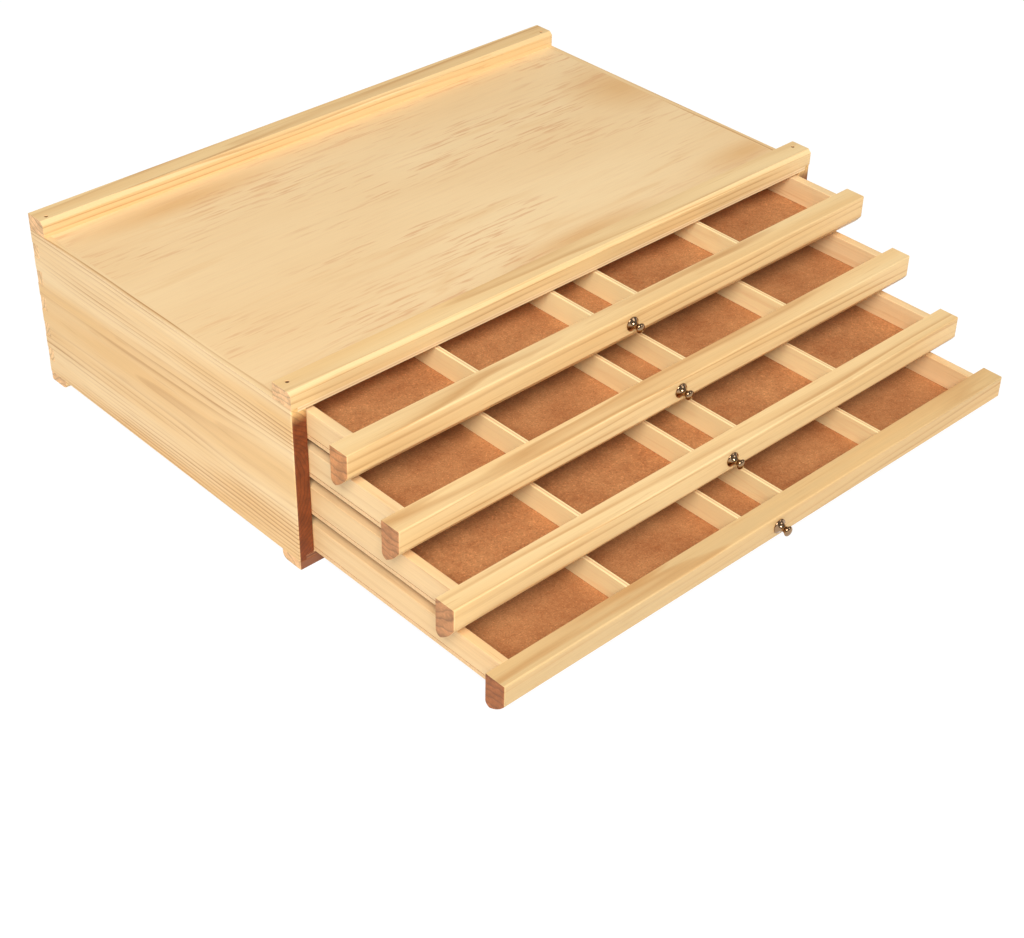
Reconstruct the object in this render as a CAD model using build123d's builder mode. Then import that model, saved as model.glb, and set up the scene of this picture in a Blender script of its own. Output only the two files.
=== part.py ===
"""Pine box with four shallow drawers for pastels. All sizes are in millimetres.

+X is to the right, +Y to the back and +Z up. The origin is the middle of the
front foot's underside. The drawers are drawn out in steps, the lowest furthest.
"""

import os

from build123d import *

os.makedirs("parts", exist_ok=True)

# Case
case_width = 400.0
case_depth = 244.0
side_thickness = 9.0
back_thickness = 6.0
panel_thickness = 2.5
side_rabbet = 5.0
back_rabbet = 3.0
corner_fingers = 11
case_edge_round = 1.2

# Feet and top rails
foot_height = 6.0
foot_depth = 16.0
foot_rear_round = 4.0
foot_front_round = 1.0
rail_height = 10.0
rail_depth = 15.0
rail_bevel = 2.2

# Brads that hold the rails
brad_radius = 0.7
brad_head_radius = 1.1
brad_head_height = 0.8
brad_length = 28.0
brad_inset = 5.8
brad_setback = 10.0
brad_set_depth = 0.4
brad_fit = 0.05

# Runner strips
runner_height = 5.7
runner_width = 8.0
runner_setback = 6.0

# Drawer boards
drawer_board_height = 15.0
drawer_side_thickness = 5.5
drawer_back_thickness = 5.5
hardboard_thickness = 2.5
divider_thickness = 3.0
divider_drop = 0.5
centre_compartment_width = 31.0

# Drawer fronts
front_thickness = 13.4
front_flat_height = 12.9
front_undercut_bulge = 0.95
front_heel_round = 3.4
front_edge_round = 1.0
front_gap = 1.3

# Knobs and their screws
knob_drop = 6.8
knob_base_radius = 4.4
knob_rim_thickness = 0.8
knob_neck_radius = 1.8
knob_neck_distance = 3.9
knob_cap_radius = 3.0
knob_cap_distance = 6.5
knob_length = 8.1
screw_radius = 1.1
screw_head_radius = 2.6
screw_head_height = 1.6
screw_grip = 4.0
screw_slot_width = 0.7
screw_slot_depth = 0.8
screw_slot_length = 3.2
screw_fit = 0.05

# Running clearances
drawer_side_gap = 0.75
drawer_slide_gap = 0.3
drawer_head_gap = 0.8
top_drawer_head_gap = 2.0
drawer_rear_gap = 3.0
drawer_closed_gap = 0.3

# How far each drawer stands open at rest
top_drawer_opening = 30.3
second_drawer_opening = 69.0
third_drawer_opening = 109.2
lowest_drawer_opening = 145.5
drawer_openings = [
    top_drawer_opening,
    second_drawer_opening,
    third_drawer_opening,
    lowest_drawer_opening,
]

# Turns in degrees
quarter_turn = 90

# Heights that follow from the stack
drawer_height = hardboard_thickness + drawer_board_height
drawer_pitch = drawer_slide_gap + drawer_height + drawer_head_gap + runner_height
drawer_count = len(drawer_openings)
floor_top = foot_height + panel_thickness
lowest_drawer_bottom = floor_top + drawer_slide_gap
highest_drawer_bottom = lowest_drawer_bottom + (drawer_count - 1) * drawer_pitch
roof_bottom = highest_drawer_bottom + drawer_height + top_drawer_head_gap
side_top = roof_bottom + panel_thickness

# Case planes
front_y = -foot_depth / 2
rear_y = front_y + case_depth
back_inner_y = rear_y - back_thickness
panel_rear_y = back_inner_y + back_rabbet
outer_x = case_width / 2
inner_x = outer_x - side_thickness
panel_x = inner_x + side_rabbet
finger_height = (side_top - foot_height) / corner_fingers
brad_x = outer_x - brad_inset
front_brad_y = front_y + brad_setback
rear_brad_y = rear_y - brad_setback

# Drawer sizes
drawer_x = inner_x - drawer_side_gap
drawer_inner_x = drawer_x - drawer_side_thickness
front_undercut_depth = front_thickness - front_heel_round
drawer_length = drawer_closed_gap + case_depth - back_thickness - drawer_rear_gap
divider_height = drawer_board_height - divider_drop
side_compartments = 2
wide_compartment_width = (
    drawer_inner_x - centre_compartment_width / 2 - side_compartments * divider_thickness
) / side_compartments


def block(x_range, y_range, z_range, mode=Mode.ADD):
    """Add or cut a box that spans three ranges."""
    with Locations((x_range[0], y_range[0], z_range[0])):
        Box(
            x_range[1] - x_range[0],
            y_range[1] - y_range[0],
            z_range[1] - z_range[0],
            align=(Align.MIN, Align.MIN, Align.MIN),
            mode=mode,
        )


def save(piece, name):
    """Label a piece and write it."""
    piece.part.label = name
    export_step(piece.part, f"parts/{name}.step")


def mirrored(x_range, hand):
    """A range of x on the right (hand 1) or its mirror image on the left (hand -1)."""
    return sorted(hand * x for x in x_range)


def finger_range(number):
    """The heights of one finger of the corner joint, counted from below."""
    bottom = foot_height + number * finger_height
    return (bottom, bottom + finger_height)


def brad_places():
    """Each brad's x and y, the front rail's two first."""
    return [(hand * brad_x, y) for y in (front_brad_y, rear_brad_y) for hand in (-1, 1)]


# ---------------------------------------------------------------- case boards


def make_case_side(name, hand):
    """A side board with rabbets for both panels and sockets for the back's fingers."""
    with BuildPart() as side:
        block(mirrored((inner_x, outer_x), hand), (front_y, rear_y), (foot_height, side_top))
        front_edges = side.edges().filter_by(Axis.Z).group_by(Axis.Y)[0]
        outer_edge = front_edges.sort_by(Axis.X)[-1 if hand > 0 else 0]
        fillet(outer_edge, radius=case_edge_round)
        rabbet_x = mirrored((inner_x, panel_x), hand)
        block(rabbet_x, (front_y, panel_rear_y), (foot_height, floor_top), Mode.SUBTRACT)
        block(rabbet_x, (front_y, panel_rear_y), (roof_bottom, side_top), Mode.SUBTRACT)
        for number in range(1, corner_fingers, 2):
            socket_x = mirrored((inner_x, outer_x), hand)
            block(socket_x, (back_inner_y, rear_y), finger_range(number), Mode.SUBTRACT)
        brads_here = [(x, y, side_top) for x, y in brad_places() if x * hand > 0]
        with Locations(*brads_here):
            Hole(radius=brad_radius + brad_fit, depth=brad_length - rail_height)
    save(side, name)


def make_case_back():
    """The back board, with a row of fingers at each end."""
    with BuildPart() as back:
        block((-inner_x, inner_x), (back_inner_y, rear_y), (foot_height, side_top))
        for number in range(1, corner_fingers, 2):
            block((-outer_x, outer_x), (back_inner_y, rear_y), finger_range(number))
        for heights in ((foot_height, floor_top), (roof_bottom, side_top)):
            block((-inner_x, inner_x), (back_inner_y, panel_rear_y), heights, Mode.SUBTRACT)
    save(back, "case_back")


def make_panel(name, bottom, brads=()):
    """A thin panel that lies in the rabbets of the sides and the back."""
    top = bottom + panel_thickness
    with BuildPart() as panel:
        block((-panel_x, panel_x), (front_y, panel_rear_y), (bottom, top))
        for x, y in brads:
            with Locations((x, y, top)):
                Hole(radius=brad_radius + brad_fit, depth=panel_thickness)
    save(panel, name)


def make_rail(name, rail_front_y, brad_y):
    """A moulding across the top with a bevelled front edge and a brad at each end."""
    rail_top = side_top + rail_height
    with BuildPart() as rail:
        with BuildSketch(Plane.YZ.offset(-outer_x)):
            with BuildLine():
                Polyline(
                    (rail_front_y, side_top),
                    (rail_front_y + rail_depth, side_top),
                    (rail_front_y + rail_depth, rail_top),
                    (rail_front_y + rail_bevel, rail_top),
                    (rail_front_y, rail_top - rail_bevel),
                    close=True,
                )
            make_face()
        extrude(amount=case_width)
        with Locations((-brad_x, brad_y, rail_top), (brad_x, brad_y, rail_top)):
            CounterBoreHole(
                radius=brad_radius + brad_fit,
                counter_bore_radius=brad_head_radius + brad_fit,
                counter_bore_depth=brad_set_depth + brad_head_height,
                depth=rail_height,
            )
    save(rail, name)


def make_foot(name, foot_front_y, inward):
    """A batten under the case; its lower edge is rounded most on the inward side."""
    with BuildPart() as foot:
        foot_y = (foot_front_y, foot_front_y + foot_depth)
        block((-outer_x, outer_x), foot_y, (0, foot_height))
        lower_edges = foot.edges().filter_by(Axis.X).group_by(Axis.Z)[0].sort_by(Axis.Y)
        inner_edge = lower_edges[-1 if inward > 0 else 0]
        outer_edge = lower_edges[0 if inward > 0 else -1]
        fillet(inner_edge, radius=foot_rear_round)
        fillet(outer_edge, radius=foot_front_round)
    save(foot, name)


def make_runner(name, level, hand):
    """A strip glued inside the case, under one drawer's side."""
    drawer_bottom = lowest_drawer_bottom + level * drawer_pitch
    top = drawer_bottom - drawer_slide_gap
    with BuildPart() as runner:
        block(
            mirrored((inner_x - runner_width, inner_x), hand),
            (front_y + runner_setback, back_inner_y),
            (top - runner_height, top),
        )
    save(runner, name)


def make_brads():
    """The brads that pin the rails to the side boards, set below the surface."""
    head_top = side_top + rail_height - brad_set_depth
    head_bottom = head_top - brad_head_height
    with BuildPart() as brads:
        for x, y in brad_places():
            with BuildSketch(Plane((x, y, head_bottom))):
                Circle(brad_head_radius)
            extrude(amount=brad_head_height)
            with BuildSketch(Plane((x, y, head_bottom))):
                Circle(brad_radius)
            extrude(amount=-(brad_length - brad_set_depth - brad_head_height))
    save(brads, "rail_brads")


# -------------------------------------------------------------------- drawers


def front_profile(face_y, top, bottom):
    """End outline of a drawer front: flat above, cut back below for the fingers."""
    undercut_top = (face_y, top - front_flat_height)
    undercut_bottom = (face_y + front_undercut_depth, bottom)
    back_y = face_y + front_thickness
    heel_centre = (back_y - front_heel_round, bottom + front_heel_round)
    with BuildSketch(Plane.YZ.offset(-outer_x)) as profile:
        with BuildLine():
            SagittaArc(undercut_bottom, undercut_top, front_undercut_bulge)
            Line(undercut_top, (face_y, top))
            Line((face_y, top), (back_y, top))
            Line((back_y, top), (back_y, bottom + front_heel_round))
            CenterArc(heel_centre, front_heel_round, start_angle=0, arc_size=-quarter_turn)
        make_face()
    return profile.sketch


def make_drawer(number, opening):
    """All the pieces of one drawer; number 1 is the top one."""
    bottom = lowest_drawer_bottom + (drawer_count - number) * drawer_pitch
    boards = bottom + hardboard_thickness
    top = bottom + drawer_height
    lip_y = front_y - opening
    rear = lip_y + drawer_length
    back_y = rear - drawer_back_thickness
    face_y = lip_y - front_thickness
    is_lowest = number == drawer_count
    front_bottom = foot_height if is_lowest else top - drawer_pitch + front_gap
    knob_z = top - knob_drop
    name = f"drawer_{number}"

    with BuildPart() as front:
        extrude(front_profile(face_y, top, front_bottom), amount=case_width)
        end_edges = front.edges().filter_by(Axis.Z).group_by(Axis.Y)[0]
        top_edge = front.edges().filter_by(Axis.X).group_by(Axis.Z)[-1].sort_by(Axis.Y)[0]
        fillet([*end_edges, top_edge], radius=front_edge_round)
        with Locations(Plane(origin=(0, lip_y, knob_z), z_dir=(0, 1, 0))):
            Hole(radius=screw_radius + screw_fit, depth=front_thickness)
    save(front, f"{name}_front")

    for side_name, hand in (("left", -1), ("right", 1)):
        with BuildPart() as side:
            block(mirrored((drawer_inner_x, drawer_x), hand), (lip_y, rear), (boards, top))
        save(side, f"{name}_{side_name}_side")

    with BuildPart() as back:
        block((-drawer_inner_x, drawer_inner_x), (back_y, rear), (boards, top))
    save(back, f"{name}_back")

    with BuildPart() as floor:
        block((-drawer_x, drawer_x), (lip_y, rear), (bottom, boards))
    save(floor, f"{name}_bottom")

    for index, left_x in enumerate(divider_places(), start=1):
        with BuildPart() as divider:
            divider_x_range = (left_x, left_x + divider_thickness)
            block(divider_x_range, (lip_y, back_y), (boards, boards + divider_height))
        save(divider, f"{name}_divider_{index}")

    make_knob(name, face_y, knob_z)
    make_knob_screw(name, lip_y, face_y, knob_z)


def divider_places():
    """Left faces of the dividers: one narrow compartment between pairs of wide ones."""
    step = wide_compartment_width + divider_thickness
    left = [-drawer_inner_x + wide_compartment_width + i * step for i in range(side_compartments)]
    right = [-(x + divider_thickness) for x in reversed(left)]
    return left + right


def knob_plane(y, z):
    """A plane through a knob's axis: its x runs forward and its y up."""
    return Plane(origin=(0, y, z), x_dir=(0, -1, 0), z_dir=(-1, 0, 0))


def make_knob(name, face_y, knob_z):
    """A turned knob: wide foot, drawn-in neck and a domed cap."""
    plane = knob_plane(face_y, knob_z)
    with BuildPart() as knob:
        with BuildSketch(plane):
            with BuildLine():
                Line((0, 0), (0, knob_base_radius))
                Line((0, knob_base_radius), (knob_rim_thickness, knob_base_radius))
                ThreePointArc(
                    (knob_rim_thickness, knob_base_radius),
                    (knob_neck_distance, knob_neck_radius),
                    (knob_cap_distance, knob_cap_radius),
                )
                EllipticalCenterArc(
                    (knob_cap_distance, 0),
                    knob_length - knob_cap_distance,
                    knob_cap_radius,
                    start_angle=0,
                    arc_size=quarter_turn,
                )
                Line((knob_length, 0), (0, 0))
            make_face()
        revolve(axis=Axis((0, face_y, knob_z), (0, -1, 0)))
        with Locations(Plane(origin=(0, face_y, knob_z), z_dir=(0, 1, 0))):
            Hole(radius=screw_radius + screw_fit, depth=screw_grip + screw_fit)
    save(knob, f"{name}_knob")


def make_knob_screw(name, lip_y, face_y, knob_z):
    """The screw that comes through the front from inside and holds the knob."""
    shank_length = lip_y - face_y + screw_grip
    with BuildPart() as screw:
        with BuildSketch(Plane(origin=(0, lip_y, knob_z), z_dir=(0, -1, 0))):
            Circle(screw_radius)
        extrude(amount=shank_length)
        with BuildSketch(Plane(origin=(0, lip_y, knob_z), z_dir=(0, 1, 0))):
            Circle(screw_head_radius)
        extrude(amount=screw_head_height)
        rim = screw.edges().filter_by(GeomType.CIRCLE).sort_by(Axis.Y)[-1]
        fillet(rim, radius=screw_head_height / 2)
        head_top = lip_y + screw_head_height
        with BuildSketch(Plane(origin=(0, head_top, knob_z), z_dir=(0, 1, 0))):
            Rectangle(screw_slot_length, screw_slot_width)
            Rectangle(screw_slot_width, screw_slot_length)
        extrude(amount=-screw_slot_depth, mode=Mode.SUBTRACT)
    save(screw, f"{name}_knob_screw")


# ---------------------------------------------------------------- whole thing

make_case_side("case_left_side", -1)
make_case_side("case_right_side", 1)
make_case_back()
make_panel("case_top_panel", roof_bottom, brad_places())
make_panel("case_bottom_panel", foot_height)
make_rail("front_rail", front_y, front_brad_y)
make_rail("rear_rail", rear_y - rail_depth, rear_brad_y)
make_foot("front_foot", front_y, 1)
make_foot("rear_foot", rear_y - foot_depth, -1)
make_brads()

for level in range(1, drawer_count):
    make_runner(f"runner_left_{drawer_count - level}", level, -1)
    make_runner(f"runner_right_{drawer_count - level}", level, 1)

for drawer_number, drawer_opening in enumerate(drawer_openings, start=1):
    make_drawer(drawer_number, drawer_opening)
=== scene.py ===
# %% [markdown]
# # A pine box with four shallow drawers for pastels
#
# The box is a low case of pine boards with a thin plywood top between two rails.
# Four drawers with rolled-over fronts stand open in steps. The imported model
# already holds every board at its real size, so this notebook gives each board
# its wood, eases its edges, turns the small metal knobs, and sets up the light
# and the camera. Sizes are in metres, apart from the knob's profile and the
# widths of the eased edges, which are in millimetres.

import math
import random

import bpy
from mathutils import Matrix, Vector


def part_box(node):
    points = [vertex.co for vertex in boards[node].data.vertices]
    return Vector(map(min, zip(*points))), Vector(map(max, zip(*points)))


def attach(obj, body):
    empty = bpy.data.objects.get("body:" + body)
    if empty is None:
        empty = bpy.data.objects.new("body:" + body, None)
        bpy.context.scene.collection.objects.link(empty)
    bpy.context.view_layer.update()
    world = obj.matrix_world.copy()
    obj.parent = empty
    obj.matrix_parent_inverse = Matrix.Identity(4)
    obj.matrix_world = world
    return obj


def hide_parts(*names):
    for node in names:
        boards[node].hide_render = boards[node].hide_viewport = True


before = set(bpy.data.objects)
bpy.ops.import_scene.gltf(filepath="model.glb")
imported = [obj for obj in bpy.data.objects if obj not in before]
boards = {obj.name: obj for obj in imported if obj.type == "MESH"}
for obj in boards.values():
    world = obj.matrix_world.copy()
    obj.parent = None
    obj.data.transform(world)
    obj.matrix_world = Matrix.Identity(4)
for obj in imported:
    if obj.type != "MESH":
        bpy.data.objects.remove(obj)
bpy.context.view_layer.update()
drawer_numbers = (1, 2, 3, 4)
divider_numbers = (1, 2, 3, 4)
millimetre = 0.001
print("boards and fittings:", len(boards))

# %% [markdown]
# ## The camera
#
# The box is seen from its front left corner and from above. The camera's place
# and aim come from the box's own corners: where each one lies in the frame fixes
# the turn, the tilt and the distance. A slight roll is kept, because the upright
# edges lean a little in the view.

# %% Camera
frame_width = 1024
focal_pixels = 1927.7
camera_place = Vector((-0.6635, -0.6564, 0.6566))
turn_from_front = math.radians(43.56)
look_down = math.radians(36.60)
camera_roll = math.radians(1.19)

forward = Vector((
    math.sin(turn_from_front) * math.cos(look_down),
    math.cos(turn_from_front) * math.cos(look_down),
    -math.sin(look_down),
))
level_right = Vector((math.cos(turn_from_front), -math.sin(turn_from_front), 0))
level_up = level_right.cross(forward)
camera_right = math.cos(camera_roll) * level_right + math.sin(camera_roll) * level_up
camera_up = math.cos(camera_roll) * level_up - math.sin(camera_roll) * level_right

camera_data = bpy.data.cameras.new("camera")
camera = bpy.data.objects.new("camera", camera_data)
bpy.context.scene.collection.objects.link(camera)
camera_data.sensor_fit = "HORIZONTAL"
camera_data.sensor_width = 36
camera_data.lens = camera_data.sensor_width * focal_pixels / frame_width
camera_data.clip_start = 0.01
camera_data.clip_end = 20
camera_turn = Matrix((camera_right, camera_up, -forward)).transposed().to_4x4()
camera.matrix_world = Matrix.Translation(camera_place) @ camera_turn
bpy.context.scene.camera = camera
print("lens in mm:", round(camera_data.lens, 1))

# %% [markdown]
# ## Colours and single nodes
#
# Every material here is a graph of small steps. These helpers turn an everyday
# colour, from 0 to 255, into the linear light that shaders use, make a material,
# and add one node of arithmetic at a time.

# %% Helpers for colours and arithmetic


def linear(red, green, blue):
    """An sRGB colour, 0 to 255, as linear light with alpha."""
    values = [channel / 255 for channel in (red, green, blue)]
    light = [v / 12.92 if v <= 0.04045 else ((v + 0.055) / 1.055) ** 2.4 for v in values]
    return (*light, 1)


def grey(value):
    """A neutral ramp colour."""
    return (value, value, value, 1)


def new_material(name):
    """A material with one Principled shader; returns it, its tree and the shader."""
    material = bpy.data.materials.new(name)
    material.use_nodes = True
    tree = material.node_tree
    return material, tree, tree.nodes["Principled BSDF"]


def feed(tree, socket, value):
    """Set a socket to a plain value, or link another socket to it."""
    if isinstance(value, bpy.types.NodeSocket):
        tree.links.new(value, socket)
    else:
        socket.default_value = value


def calculate(tree, operation, first, second=0.0, third=0.0):
    """One Math node."""
    node = tree.nodes.new("ShaderNodeMath")
    node.operation = operation
    for socket, value in zip(node.inputs, (first, second, third)):
        feed(tree, socket, value)
    return node.outputs[0]


def vector_step(tree, operation, first, second=(0, 0, 0)):
    """One Vector Math node: its length as a number, or else its vector."""
    node = tree.nodes.new("ShaderNodeVectorMath")
    node.operation = operation
    feed(tree, node.inputs[0], first)
    feed(tree, node.inputs[1], second)
    return node.outputs["Value" if operation == "LENGTH" else "Vector"]


def coordinates(tree, kind="Object"):
    """Where a point lies on the part or, with "Normal", which way its face looks."""
    return tree.nodes.new("ShaderNodeTexCoord").outputs[kind]


def separate(tree, vector):
    """The parts of a vector, under the names X, Y and Z."""
    node = tree.nodes.new("ShaderNodeSeparateXYZ")
    tree.links.new(vector, node.inputs[0])
    return node.outputs


def combine(tree, parts):
    """One vector from its first parts; a part that isn't given stays 0."""
    node = tree.nodes.new("ShaderNodeCombineXYZ")
    for socket, part in zip(node.inputs, parts):
        tree.links.new(part, socket)
    return node.outputs[0]


print("arithmetic helpers ready")

# %% [markdown]
# ## Patterns, mixes and finish
#
# Noise is the source of every pattern, and a colour ramp turns it into bands,
# specks or masks. Mixing lays one colour over another, and a coat hands the
# results to the shader.

# %% Helpers for patterns and mixes


def noise(tree, vector, scale, detail=2.0, roughness=0.5, output="Fac"):
    """One Noise Texture node."""
    node = tree.nodes.new("ShaderNodeTexNoise")
    feed(tree, node.inputs["Vector"], vector)
    node.inputs["Scale"].default_value = scale
    node.inputs["Detail"].default_value = detail
    node.inputs["Roughness"].default_value = roughness
    return node.outputs[output]


def ramp(tree, factor, stops):
    """One Color Ramp node of greys; stops are (position, level)."""
    node = tree.nodes.new("ShaderNodeValToRGB")
    feed(tree, node.inputs[0], factor)
    elements = node.color_ramp.elements
    while len(elements) < len(stops):
        elements.new(0.5)
    for element, (position, level) in zip(elements, stops):
        element.position = position
        element.color = grey(level)
    return node.outputs[0]


def blend_colours(tree, factor, first, second, method="MIX"):
    """One Mix node on colours."""
    node = tree.nodes.new("ShaderNodeMix")
    node.data_type = "RGBA"
    node.blend_type = method
    feed(tree, node.inputs["Factor"], factor)
    feed(tree, node.inputs["A"], first)
    feed(tree, node.inputs["B"], second)
    return node.outputs["Result"]


def bump(tree, height, distance, strength=1.0):
    """One Bump node."""
    node = tree.nodes.new("ShaderNodeBump")
    node.inputs["Strength"].default_value = strength
    node.inputs["Distance"].default_value = distance
    feed(tree, node.inputs["Height"], height)
    return node.outputs[0]


def coat(tree, shader, colour, roughness, normal):
    """Link a shader's colour, roughness and normal."""
    tree.links.new(colour, shader.inputs["Base Color"])
    tree.links.new(roughness, shader.inputs["Roughness"])
    tree.links.new(normal, shader.inputs["Normal"])


def dress(node_name, material):
    """Give a CAD node one material."""
    board = boards[node_name]
    board.data.materials.clear()
    board.data.materials.append(material)


print("pattern helpers ready")

# %% [markdown]
# ## Following the grain
#
# Wood looks different along its grain, across it and on its sawn ends. These
# helpers turn the coordinates so that their last part runs along the grain, draw
# noise out into streaks, let the grain lean, and find the faces that look along
# an axis.

# %% Helpers for grain
grain_orders = {"x": ("Y", "Z", "X"), "y": ("Z", "X", "Y"), "z": ("X", "Y", "Z")}


def along_grain(tree, grain):
    """Object coordinates turned so that their last part runs along the grain."""
    split = separate(tree, coordinates(tree))
    return combine(tree, [split[part] for part in grain_orders[grain]])


def leaning(tree, place, lean):
    """Shift coordinates across the grain by a share of the way along it."""
    length = separate(tree, place)["Z"]
    shifts = [calculate(tree, "MULTIPLY", length, share) for share in lean]
    return vector_step(tree, "ADD", place, combine(tree, shifts))


def streaks(tree, place, along, scale, detail=2.0, roughness=0.5, output="Fac"):
    """Noise drawn out along the grain; along is the share of its pace that way."""
    pressed = vector_step(tree, "MULTIPLY", place, (1, 1, along))
    return noise(tree, pressed, scale, detail, roughness, output)


def facing(tree, axis):
    """1 where the surface faces along an axis, either way, and 0 elsewhere."""
    normal = separate(tree, coordinates(tree, "Normal"))
    size = calculate(tree, "ABSOLUTE", normal[axis.upper()])
    return ramp(tree, size, [(0.55, 0), (0.8, 1)])


print("grain can run along", sorted(grain_orders))

# %% [markdown]
# ## Solid pine
#
# A pine board is cut from a log, so its figure is a slice through nested rings.
# The material does the same: each point's distance from an unseen heart line
# along the grain gives its place in the rings. A face that the heart line lies
# behind shows a few broad bands, and a face beside it shows close lines. Slow
# noise bends the rings, spaces them unevenly and lets some of them fade. The wood
# is honey-coloured near the heart and pale further out. Fine streaks give the
# fibres, and sparse dashes the resin canals. Sawn ends take up more varnish than
# faces do, so each board has a tone of its own for them.

# %% Pine material
ring_profile = [(0.0, 0.05), (0.45, 0.12), (0.70, 0.42), (0.86, 1.0), (0.94, 0.70), (1.0, 0.05)]
ring_unevenness = 2.4
fibre_amount = 0.8
planed_roughness = 0.50
late_wood_roughness = -0.08
end_grain_roughness = 0.18
late_wood_height = 0.4
fibre_height = 0.5
wood_specular = 0.35
pine_relief = 0.0001


def tree_rings(tree, moved, ring_width, bend):
    """Each point's distance from the heart line, and how dark its ring is there."""
    wander = streaks(tree, moved, along=0.25, scale=17, roughness=0.45, output="Color")
    shift = vector_step(tree, "SUBTRACT", wander, (0.5, 0.5, 0.5))
    shift = vector_step(tree, "MULTIPLY", shift, (2 * bend, 2 * bend, 0))
    bent = vector_step(tree, "ADD", moved, shift)
    distance = vector_step(tree, "LENGTH", vector_step(tree, "MULTIPLY", bent, (1, 1, 0)))
    uneven = calculate(
        tree, "MULTIPLY", streaks(tree, moved, along=0.05, scale=60), ring_unevenness)
    turns = calculate(tree, "MULTIPLY_ADD", distance, 1 / ring_width, uneven)
    return distance, ramp(tree, calculate(tree, "FRACT", turns), ring_profile)


def end_grain(tree, moved, late, base):
    """A sawn end: its rings, then fine specks, then soft clouds."""
    specks = noise(tree, moved, scale=700, roughness=0.6)
    clouds = noise(tree, moved, scale=130)
    colour = base
    for tone in (
        ramp(tree, late, [(0.0, 1.10), (1.0, 0.72)]),
        ramp(tree, specks, [(0.3, 0.88), (0.7, 1.12)]),
        ramp(tree, clouds, [(0.35, 0.86), (0.65, 1.16)]),
    ):
        colour = blend_colours(tree, 1.0, colour, tone, "MULTIPLY")
    return colour


def pine(name, grain, heart, wood, end, ring_width=0.0045, honey_reach=0.0, line_amount=0.55,
         bend=0.003, lean=(0.0, 0.0), pale_end_above=None):
    """Pine with its grain along an axis and its heart line through a point.

    The heart point follows grain_orders, so its part along the grain comes last.
    The wood is three colours: pale, honey and the rings' dark lines. Within
    honey_reach of the heart it is honey and its lines fade. The rings wander by
    bend, and the heart line leans by two shares of its length. Sawn ends above
    the height pale_end_above are honey-coloured.
    """
    pale, honey, line = wood
    material, tree, shader = new_material(name)
    place = along_grain(tree, grain)
    moved = leaning(tree, vector_step(tree, "SUBTRACT", place, heart), lean)
    distance, late = tree_rings(tree, moved, ring_width, bend)

    broad = ramp(tree, streaks(tree, moved, along=0.08, scale=60), [(0.34, 0), (0.68, 0.75)])
    near_heart = calculate(tree, "DIVIDE", distance, max(honey_reach, millimetre))
    near_heart = ramp(tree, near_heart, [(0.76, 0.9), (1.0, 0)])
    colour = blend_colours(tree, calculate(tree, "MAXIMUM", broad, near_heart), pale, honey)

    fading = ramp(tree, streaks(tree, moved, along=0.10, scale=70), [(0.38, 0.10), (0.62, 1.0)])
    clear = calculate(tree, "MULTIPLY_ADD", near_heart, -line_amount, line_amount)
    lines = calculate(tree, "MULTIPLY", calculate(tree, "MULTIPLY", late, fading), clear)
    colour = blend_colours(tree, lines, colour, line)

    fibres = streaks(tree, moved, along=0.018, scale=1300, detail=3.0, roughness=0.6)
    fine = ramp(tree, fibres, [(0.32, 0.93), (0.60, 1.0)])
    colour = blend_colours(tree, fibre_amount, colour, fine, "MULTIPLY")
    flecks = streaks(tree, moved, along=0.05, scale=620, detail=1.0, roughness=0.4)
    flecks = ramp(tree, flecks, [(0.66, 0), (0.76, 0.20)])
    colour = blend_colours(tree, flecks, colour, line)

    end_base = end
    if pale_end_above:
        above = ramp(tree, separate(tree, coordinates(tree))["Z"], [
            (pale_end_above - millimetre, 0), (pale_end_above + millimetre, 1),
        ])
        end_base = blend_colours(tree, above, end, honey)
    end_mask = facing(tree, grain)
    colour = blend_colours(tree, end_mask, colour, end_grain(tree, moved, late, end_base))

    gloss = calculate(tree, "MULTIPLY_ADD", late, late_wood_roughness, planed_roughness)
    gloss = calculate(tree, "MULTIPLY_ADD", end_mask, end_grain_roughness, gloss)
    height = calculate(tree, "MULTIPLY", fibres, fibre_height)
    height = calculate(tree, "MULTIPLY_ADD", late, late_wood_height, height)
    coat(tree, shader, colour, gloss, bump(tree, height, pine_relief))
    shader.inputs["Specular IOR Level"].default_value = wood_specular
    return material


print("stops in a ring:", len(ring_profile))

# %% [markdown]
# ## The case
#
# The case boards are wide and honey-coloured. Their grain runs along their
# length: front to back in the sides, left to right in the back. Each board gets
# its own heart line, because no two boards come from the same place in a log.
# The left side was cut close to the heart: a narrow honey band runs along its
# middle, with closer lines above and below. The sides' front ends are deep brown
# end grain, apart from their topmost few millimetres.

# %% Case boards
case_wood = (linear(251, 218, 166), linear(238, 190, 122), linear(188, 126, 62))
runner_wood = (linear(222, 178, 120), *case_wood[1:])
case_end = linear(126, 62, 26)
back_end = linear(240, 198, 146)
end_top = 0.098

dress("case_left_side", pine(
    "left_side_pine", "y", (0.056, -0.224, 0.0), case_wood, case_end, ring_width=0.0024,
    honey_reach=0.030, line_amount=0.95, bend=0.004, lean=(0.012, 0.0),
    pale_end_above=end_top))
dress("case_right_side", pine(
    "right_side_pine", "y", (0.07, 0.25, 0.4), case_wood, case_end, ring_width=0.0030,
    honey_reach=0.062, line_amount=0.8, bend=0.0045, lean=(-0.012, 0.0),
    pale_end_above=end_top))
dress("case_back", pine(
    "back_pine", "x", (0.27, 0.06, 0.0), case_wood, back_end, ring_width=0.0030,
    honey_reach=0.050, line_amount=0.8, bend=0.0045, lean=(0.0, 0.01)))
for side, hand in (("left", -1), ("right", 1)):
    for level in (1, 2, 3):
        dress(f"runner_{side}_{level}", pine(
            f"runner_{side}_pine_{level}", "y", (0.01 * level, 0.25 * hand, 0.1 * level),
            runner_wood, case_end))
print("case boards dressed")
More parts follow.
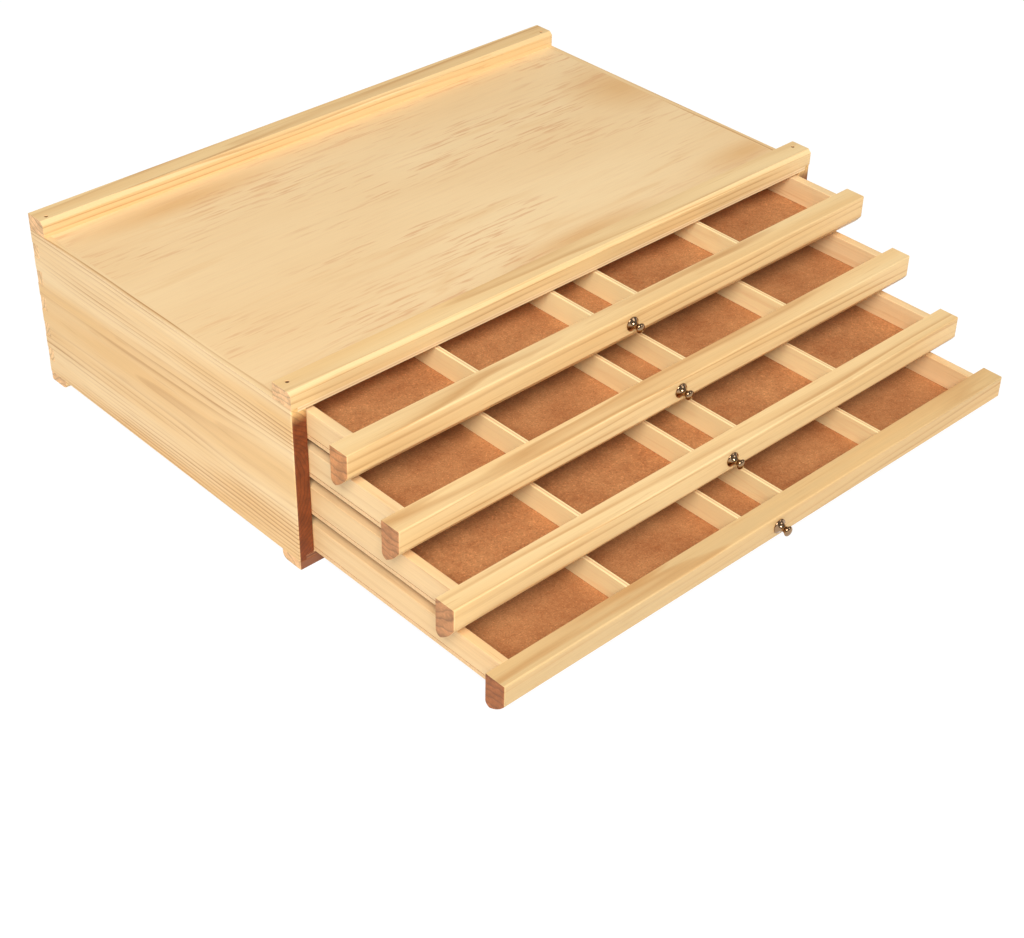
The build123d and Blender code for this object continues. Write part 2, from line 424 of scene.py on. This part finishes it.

# %% [markdown]
# ## Rails and feet
#
# The rails and feet are strips of pale moulding from left to right. Only the front
# foot is brown all over: painted shade, for the shade that the open drawers above cast on it.

# %% Rails and feet
moulding_pale = linear(250, 217, 160)
moulding_honey = linear(241, 197, 133)
moulding_line = linear(196, 136, 72)
moulding_end = linear(234, 188, 138)
moulding_wood = (moulding_pale, moulding_honey, moulding_line)
# The front foot's brown is painted shade: the open drawers above keep it in shade.
painted_shade_foot_wood = (linear(150, 92, 58), linear(134, 80, 48), linear(108, 60, 34))

for name, heart, lean in (
    ("front_rail", (0.004, 0.150, 0.2), (0.006, 0.004)),
    ("rear_rail", (0.215, 0.160, 0.7), (-0.004, 0.006)),
    ("rear_foot", (0.20, -0.06, 0.5), (0.004, 0.002)),
):
    dress(name, pine(
        f"{name}_pine", "x", heart, moulding_wood, moulding_end, ring_width=0.0034,
        line_amount=0.6, lean=lean))
dress("front_foot", pine(
    "front_foot_pine", "x", (0.04, -0.05, 0.1), painted_shade_foot_wood, moulding_end))
print("rails and feet dressed")

# %% [markdown]
# ## Drawer boards
#
# Each front is a strip of moulding whose heart line lies above it, so its top is
# nearly plain and its face carries the lines. The sides and backs are plain
# strips. A seeded draw places every heart line, so the result never changes.

# %% Drawer boards
drawer_random = random.Random(7)
front_pales = {1: moulding_pale, 2: moulding_pale, 3: moulding_pale, 4: linear(223, 189, 135)}
front_ends = {
    1: linear(198, 136, 86),
    2: linear(188, 130, 86),
    3: linear(190, 134, 90),
    4: linear(164, 100, 60),
}
drawer_wood = (linear(247, 214, 162), linear(241, 199, 142), moulding_line)


def drawn_heart(first, second, along):
    """A heart line 20 to 80 mm short of the first place and within 50 mm of the second."""
    return (
        first - drawer_random.uniform(0.02, 0.08),
        second + drawer_random.uniform(-0.05, 0.05),
        along,
    )


for number in drawer_numbers:
    low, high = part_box(f"drawer_{number}_front")
    heart = (
        (low.y + high.y) / 2 + drawer_random.uniform(-0.006, 0.010),
        high.z + drawer_random.uniform(0.045, 0.080),
        number * 0.37,
    )
    lean = (drawer_random.uniform(-0.015, 0.015), drawer_random.uniform(-0.012, 0.012))
    front_wood = (front_pales[number], moulding_honey, moulding_line)
    dress(f"drawer_{number}_front", pine(
        f"front_pine_{number}", "x", heart, front_wood, front_ends[number],
        ring_width=0.0048, line_amount=0.65, lean=lean))
    for part in ("left_side", "right_side"):
        low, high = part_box(f"drawer_{number}_{part}")
        dress(f"drawer_{number}_{part}", pine(
            f"drawer_{number}_{part}_pine", "y", drawn_heart(low.z, low.x, number * 0.3),
            drawer_wood, moulding_end, ring_width=0.006, line_amount=0.22))
    low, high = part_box(f"drawer_{number}_back")
    dress(f"drawer_{number}_back", pine(
        f"drawer_{number}_back_pine", "x", drawn_heart(low.y, low.z, number * 0.2),
        drawer_wood, moulding_end, line_amount=0.4))
print("drawer boards dressed")

# %% [markdown]
# ## Plywood
#
# The top, the bottom and the drawers' thin dividers are plywood. A rotary-cut
# face has a quiet figure with short pinkish dashes, and the top has four warmer
# patches near its rim. The edges show the layers: outer sheets around a core.

# %% Plywood material
ply_warm = linear(230, 180, 118)
ply_dash = linear(216, 152, 104)
figure_bands = 7.0
ply_fibre_amount = 0.7
ply_roughness = 0.44
ply_fibre_roughness = 0.12
ply_relief = 0.00005


def plywood(name, grain, thin, low, high, seed, pale, edge, core_tone, dash_amount=0.5,
            warm_patches=()):
    """Plywood with its face grain along one axis and its thickness along another.

    Low and high are the sheet's corners; edge and core_tone colour the layers of
    its rim. Each warm patch is a centre and its half sizes, both with the part
    along the grain last.
    """
    material, tree, shader = new_material(name)
    place = along_grain(tree, grain)
    moved = vector_step(tree, "ADD", place, (seed, seed * 2, seed * 3))

    patches = ramp(tree, streaks(tree, moved, along=0.35, scale=13), [(0.36, 0), (0.66, 0.30)])
    figure = streaks(tree, moved, along=0.10, scale=34, detail=3.0, roughness=0.55)
    bands = calculate(tree, "PINGPONG", calculate(tree, "MULTIPLY", figure, figure_bands), 1.0)
    bands = ramp(tree, bands, [(0.0, 0.0), (0.75, 0.08), (1.0, 0.34)])
    tone = calculate(tree, "MAXIMUM", patches, bands)
    for centre, half in warm_patches:
        offset = vector_step(tree, "SUBTRACT", place, centre)
        reach = vector_step(tree, "LENGTH", vector_step(tree, "DIVIDE", offset, half))
        tone = calculate(tree, "MAXIMUM", tone, ramp(tree, reach, [(0.1, 0.8), (1.0, 0)]))
    colour = blend_colours(tree, tone, pale, ply_warm)

    dashes = ramp(tree, streaks(tree, moved, along=0.07, scale=620), [(0.53, 0), (0.66, 1)])
    zone = ramp(tree, streaks(tree, moved, along=0.40, scale=24), [(0.42, 0.15), (0.60, 1)])
    amount = calculate(tree, "MULTIPLY", calculate(tree, "MULTIPLY", dashes, zone), dash_amount)
    colour = blend_colours(tree, amount, colour, ply_dash)
    fibres = streaks(tree, moved, along=0.02, scale=1300, detail=3.0, roughness=0.6)
    fine = ramp(tree, fibres, [(0.32, 0.95), (0.60, 1.0)])
    colour = blend_colours(tree, ply_fibre_amount, colour, fine, "MULTIPLY")

    index = "xyz".index(thin)
    through = separate(tree, coordinates(tree))[thin.upper()]
    depth = calculate(tree, "SUBTRACT", through, low[index])
    depth = calculate(tree, "DIVIDE", depth, high[index] - low[index])
    core = ramp(tree, depth, [(0.0, 0), (0.30, 0), (0.38, 1), (0.62, 1), (0.70, 0)])
    layer = blend_colours(tree, core, edge, core_tone)
    edge_mask = calculate(tree, "SUBTRACT", 1.0, facing(tree, thin))
    colour = blend_colours(tree, edge_mask, colour, layer)

    gloss = calculate(tree, "MULTIPLY_ADD", fibres, ply_fibre_roughness, ply_roughness)
    coat(tree, shader, colour, gloss, bump(tree, fibres, ply_relief))
    shader.inputs["Specular IOR Level"].default_value = wood_specular
    return material


print("plywood material ready")

# %% [markdown]
# ## The panels and dividers
#
# The top panel has pale layers and the warm patches. The bottom panel's rim is
# brown, painted shade like the front foot, for the shade under the open drawers. The dividers are
# the palest pieces.

# %% Panels and dividers
ply_pale = linear(251, 219, 168)
ply_core = linear(236, 196, 146)
divider_pale = linear(254, 229, 172)
# The bottom panel's brown rim layers are painted shade, for the shade under the open drawers.
painted_shade_edge = linear(150, 96, 60)
painted_shade_core = linear(120, 72, 42)
top_patches = (
    ((0.022, 0.1037, 0.035), (0.014, 0.02, 0.080)),
    ((0.146, 0.1037, 0.190), (0.050, 0.02, 0.055)),
    ((0.030, 0.1037, 0.185), (0.020, 0.02, 0.060)),
    ((0.205, 0.1037, -0.120), (0.018, 0.02, 0.110)),
)

dress("case_top_panel", plywood(
    "top_ply", "x", "z", *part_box("case_top_panel"), 0.13, ply_pale, ply_pale, ply_core,
    warm_patches=top_patches))
dress("case_bottom_panel", plywood(
    "bottom_ply", "x", "z", *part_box("case_bottom_panel"), 0.71, ply_pale, painted_shade_edge, painted_shade_core))
for number in drawer_numbers:
    for index in divider_numbers:
        name = f"drawer_{number}_divider_{index}"
        dress(name, plywood(
            f"{name}_ply", "y", "x", *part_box(name), 0.17 * number + 0.05 * index,
            divider_pale, divider_pale, ply_core, dash_amount=0.12))
print("plywood dressed")

# %% [markdown]
# ## Hardboard drawer bottoms
#
# Hardboard is pressed wood fibre: brown, smooth and faintly mottled on top, with
# fine pale and dark specks. Its sawn edges are fibrous and pale. Its underside
# carries the print of the wire screen that it was pressed on.

# %% Hardboard
board_brown = linear(205, 144, 92)
board_dark = linear(172, 109, 65)
board_edge = linear(238, 198, 146)
speck_amount = 0.9
edge_speck_amount = 0.4
screen_pitch = 0.0016
screen_depth = 1.6
board_roughness = 0.42
mottle_roughness = 0.2
board_relief = 0.00008
board_specular = 0.3


def hardboard(name, seed):
    """Pressed fibre board with a screen print below."""
    material, tree, shader = new_material(name)
    place = coordinates(tree)
    moved = vector_step(tree, "ADD", place, (seed, 0, seed))
    cloud = noise(tree, moved, scale=40, detail=3.0, roughness=0.6)
    mottle = noise(tree, moved, scale=420, detail=3.0, roughness=0.65)
    fibre = noise(tree, moved, scale=1150, roughness=0.6)
    amount = calculate(tree, "MULTIPLY_ADD", cloud, 0.6, calculate(tree, "MULTIPLY", mottle, 0.4))
    amount = ramp(tree, amount, [(0.36, 0), (0.66, 1)])
    colour = blend_colours(tree, amount, board_brown, board_dark)
    specks = ramp(tree, fibre, [(0.28, 0.60), (0.42, 0.95), (0.58, 1.0), (0.70, 1.45)])
    colour = blend_colours(tree, speck_amount, colour, specks, "MULTIPLY")
    sawn = calculate(tree, "SUBTRACT", 1.0, facing(tree, "z"))
    edge = blend_colours(tree, edge_speck_amount, board_edge, specks, "MULTIPLY")
    colour = blend_colours(tree, sawn, colour, edge)

    split = separate(tree, place)
    wires = []
    for axis in ("X", "Y"):
        wave = calculate(tree, "MULTIPLY", split[axis], math.tau / screen_pitch)
        wires.append(calculate(tree, "SINE", wave))
    screen = calculate(tree, "MAXIMUM", *wires)
    downward = separate(tree, coordinates(tree, "Normal"))["Z"]
    screen = calculate(tree, "MULTIPLY", screen, calculate(tree, "LESS_THAN", downward, -0.5))
    height = calculate(tree, "MULTIPLY_ADD", screen, screen_depth, mottle)
    gloss = calculate(tree, "MULTIPLY_ADD", mottle, mottle_roughness, board_roughness)
    coat(tree, shader, colour, gloss, bump(tree, height, board_relief))
    shader.inputs["Specular IOR Level"].default_value = board_specular
    return material


for number in drawer_numbers:
    dress(f"drawer_{number}_bottom", hardboard(f"hardboard_{number}", 0.23 * number))
print("drawer bottoms dressed")

# %% [markdown]
# ## Metal
#
# The knobs are turned and plated with bright nickel. Their dark brownish tone is painted
# reflection, for the brown wood that they mirror. The screws are plain zinc-coated steel with a
# duller face. The brads are dull iron wire, and their brown is partly painted shade of the holes
# they sit in.

# %% Metals
metal_relief = 0.00002


def metal(name, tone, roughness, spread, scale):
    """Plated metal whose polish varies a little."""
    material, tree, shader = new_material(name)
    polish = noise(tree, coordinates(tree), scale, detail=3.0, roughness=0.6)
    gloss = calculate(tree, "MULTIPLY_ADD", polish, spread, roughness)
    tint = ramp(tree, polish, [(0.3, 0.86), (0.65, 1.0)])
    colour = blend_colours(tree, 1.0, tone, tint, "MULTIPLY")
    coat(tree, shader, colour, gloss, bump(tree, polish, metal_relief, strength=0.5))
    shader.inputs["Metallic"].default_value = 1.0
    return material


# The knobs' dark brownish tone is painted reflection: it stands in for the brown wood they
# mirror.
nickel = metal("nickel_painted_dark_reflections", linear(166, 134, 102), roughness=0.05, spread=0.08, scale=260)
zinc = metal("zinc_steel", linear(176, 176, 172), roughness=0.30, spread=0.25, scale=700)
# The brads' brown is partly dull iron and partly painted shade of the holes they sit in.
iron_with_hole_shade = metal("iron_with_hole_shade", linear(168, 128, 92), roughness=0.40, spread=0.25, scale=700)
dress("rail_brads", iron_with_hole_shade)
for number in drawer_numbers:
    dress(f"drawer_{number}_knob_screw", zinc)
print("metals made")

# %% [markdown]
# ## The knobs
#
# Each knob is turned on a lathe: a wide foot, a waist drawn in to a thin neck
# and a domed cap. It starts as one ring of points on the drawer's face. The
# ring is extruded outward and resized again and again, as a turner would move
# along the profile, and the dome is closed at its tip. The profile gives each
# ring's distance from the face and its radius, in millimetres.

# %% Turned knobs
knob_segments = 48
knob_profile = (
    (0.0, 4.0), (0.2, 4.32), (0.5, 4.4), (0.8, 4.25), (1.05, 3.85), (1.4, 3.2), (1.9, 2.6),
    (2.5, 2.15), (3.2, 1.88), (3.9, 1.8), (4.5, 1.88), (5.1, 2.15), (5.6, 2.5), (6.0, 2.82),
    (6.35, 2.98), (6.65, 3.0), (7.0, 2.84), (7.35, 2.48), (7.65, 1.9), (7.88, 1.3), (8.04, 0.65),
)
knob_tip = 8.1
knob_smooth_angle = math.radians(50)


def turn_knob(name, centre):
    """Lathe a knob that stands forward, along -y, from a centre on the drawer's face."""
    bpy.ops.object.select_all(action="DESELECT")
    reached, radius = knob_profile[0]
    bpy.ops.mesh.primitive_circle_add(
        vertices=knob_segments, radius=radius * millimetre, fill_type="NGON",
        location=centre, rotation=(math.pi / 2, 0, 0))
    knob = bpy.context.active_object
    knob.name = name
    bpy.ops.object.transform_apply(location=True, rotation=True, scale=True)
    bpy.ops.object.mode_set(mode="EDIT")
    bpy.ops.mesh.select_all(action="SELECT")
    for distance, next_radius in knob_profile[1:]:
        step = (reached - distance) * millimetre
        bpy.ops.mesh.extrude_region_move(TRANSFORM_OT_translate={"value": (0, step, 0)})
        ratio = next_radius / radius
        middle = (centre.x, centre.y - distance * millimetre, centre.z)
        bpy.ops.transform.resize(value=(ratio, 1, ratio), center_override=middle)
        reached, radius = distance, next_radius
    step = (reached - knob_tip) * millimetre
    bpy.ops.mesh.extrude_region_move(TRANSFORM_OT_translate={"value": (0, step, 0)})
    bpy.ops.mesh.merge(type="CENTER")
    bpy.ops.mesh.select_all(action="SELECT")
    bpy.ops.mesh.normals_make_consistent(inside=False)
    bpy.ops.object.mode_set(mode="OBJECT")
    bpy.ops.object.shade_smooth_by_angle(angle=knob_smooth_angle)
    knob.data.materials.append(nickel)
    return knob


for number in drawer_numbers:
    low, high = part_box(f"drawer_{number}_knob")
    centre = Vector(((low.x + high.x) / 2, high.y, (low.z + high.z) / 2))
    knob = turn_knob(f"turned_knob_{number}", centre)
    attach(knob, f"drawer_{number}")
    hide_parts(f"drawer_{number}_knob")
    print(knob.name, "faces:", len(knob.data.polygons))

# %% [markdown]
# ## Eased edges
#
# Sanded wood never has knife edges: every arris is rounded by a few tenths of a
# millimetre and catches a thin line of light. A weld joins each board's loose
# triangles, flat neighbours are merged, and a small bevel on the sharp edges
# alone does the sanding. The first word of the list that is in a board's name
# gives the width. The bottoms and the fittings stay as they are.

# %% Sanded edges
edge_widths = (
    ("bottom", 0), ("knob", 0), ("brads", 0), ("panel", 0.2), ("case", 0.5), ("front", 0.7),
    ("rail", 0.7), ("foot", 0.6), ("side", 0.4), ("back", 0.4), ("divider", 0.3),
    ("runner", 0.3),
)
weld_distance = 0.00001
flat_angle = math.radians(0.5)
sharp_angle = math.radians(40)


def sand(board, width):
    """Round a board's sharp edges by a width in millimetres."""
    weld = board.modifiers.new("weld", "WELD")
    weld.merge_threshold = weld_distance
    flat = board.modifiers.new("merge_flat_faces", "DECIMATE")
    flat.decimate_type = "DISSOLVE"
    flat.angle_limit = flat_angle
    bevel = board.modifiers.new("sanded_edges", "BEVEL")
    bevel.width = width * millimetre
    bevel.segments = 2
    bevel.limit_method = "ANGLE"
    bevel.angle_limit = sharp_angle


sanded = 0
for name, board in boards.items():
    width = next(width for word, width in edge_widths if word in name)
    if width:
        sand(board, width)
        sanded += 1
print("boards sanded:", sanded)

# %% [markdown]
# ## Light
#
# Two soft lamps, a strong one from the front left and a weak one from the front
# right, and an even white surround.

# %% Light
box_middle = (0, 0.05, 0.05)
surround_strength = 0.26


def soft_lamp(name, place, size, power):
    """A square lamp that points at the middle of the box."""
    data = bpy.data.lights.new(name, "AREA")
    data.shape = "SQUARE"
    data.size = size
    data.energy = power
    lamp = bpy.data.objects.new(name, data)
    bpy.context.scene.collection.objects.link(lamp)
    lamp.location = place
    aim = Vector(box_middle) - Vector(place)
    lamp.rotation_euler = aim.to_track_quat("-Z", "Y").to_euler()


soft_lamp("key_lamp", (-1.76, -1.71, 2.37), size=1.5, power=124)
soft_lamp("fill_lamp", (1.2, -1.8, 1.1), size=0.8, power=5)

world = bpy.data.worlds.new("surround")
bpy.context.scene.world = world
world.use_nodes = True
surround = world.node_tree.nodes["Background"]
surround.inputs["Color"].default_value = (1, 1, 1, 1)
surround.inputs["Strength"].default_value = surround_strength

# %% [markdown]
# ## Floor
#
# A wide pale floor catches the box's shadow. To the camera, and in reflections,
# most of its light is an even glow, so it looks white and keeps a faint shadow.

# %% Floor
floor_size = 80
floor_grey = 0.7
floor_roughness = 0.9
glow_strength = 1.15
glow_share = 0.8

bpy.ops.object.select_all(action="DESELECT")
bpy.ops.mesh.primitive_plane_add(size=floor_size, location=(0, 0, 0))
floor = bpy.context.active_object
floor.name = "floor"
material, tree, shader = new_material("pale_floor")
shader.inputs["Base Color"].default_value = grey(floor_grey)
shader.inputs["Roughness"].default_value = floor_roughness
glow = tree.nodes.new("ShaderNodeEmission")
glow.inputs["Strength"].default_value = glow_strength
paths = tree.nodes.new("ShaderNodeLightPath")
seen = calculate(tree, "MAXIMUM", paths.outputs["Is Camera Ray"], paths.outputs["Is Glossy Ray"])
seen = calculate(tree, "MAXIMUM", seen, paths.outputs["Is Transmission Ray"])
mixer = tree.nodes.new("ShaderNodeMixShader")
tree.links.new(calculate(tree, "MULTIPLY", seen, glow_share), mixer.inputs["Fac"])
tree.links.new(shader.outputs[0], mixer.inputs[1])
tree.links.new(glow.outputs[0], mixer.inputs[2])
tree.links.new(mixer.outputs[0], tree.nodes["Material Output"].inputs["Surface"])
floor.data.materials.append(material)
bpy.context.scene.view_settings.view_transform = "Standard"
print("floor:", floor.name)
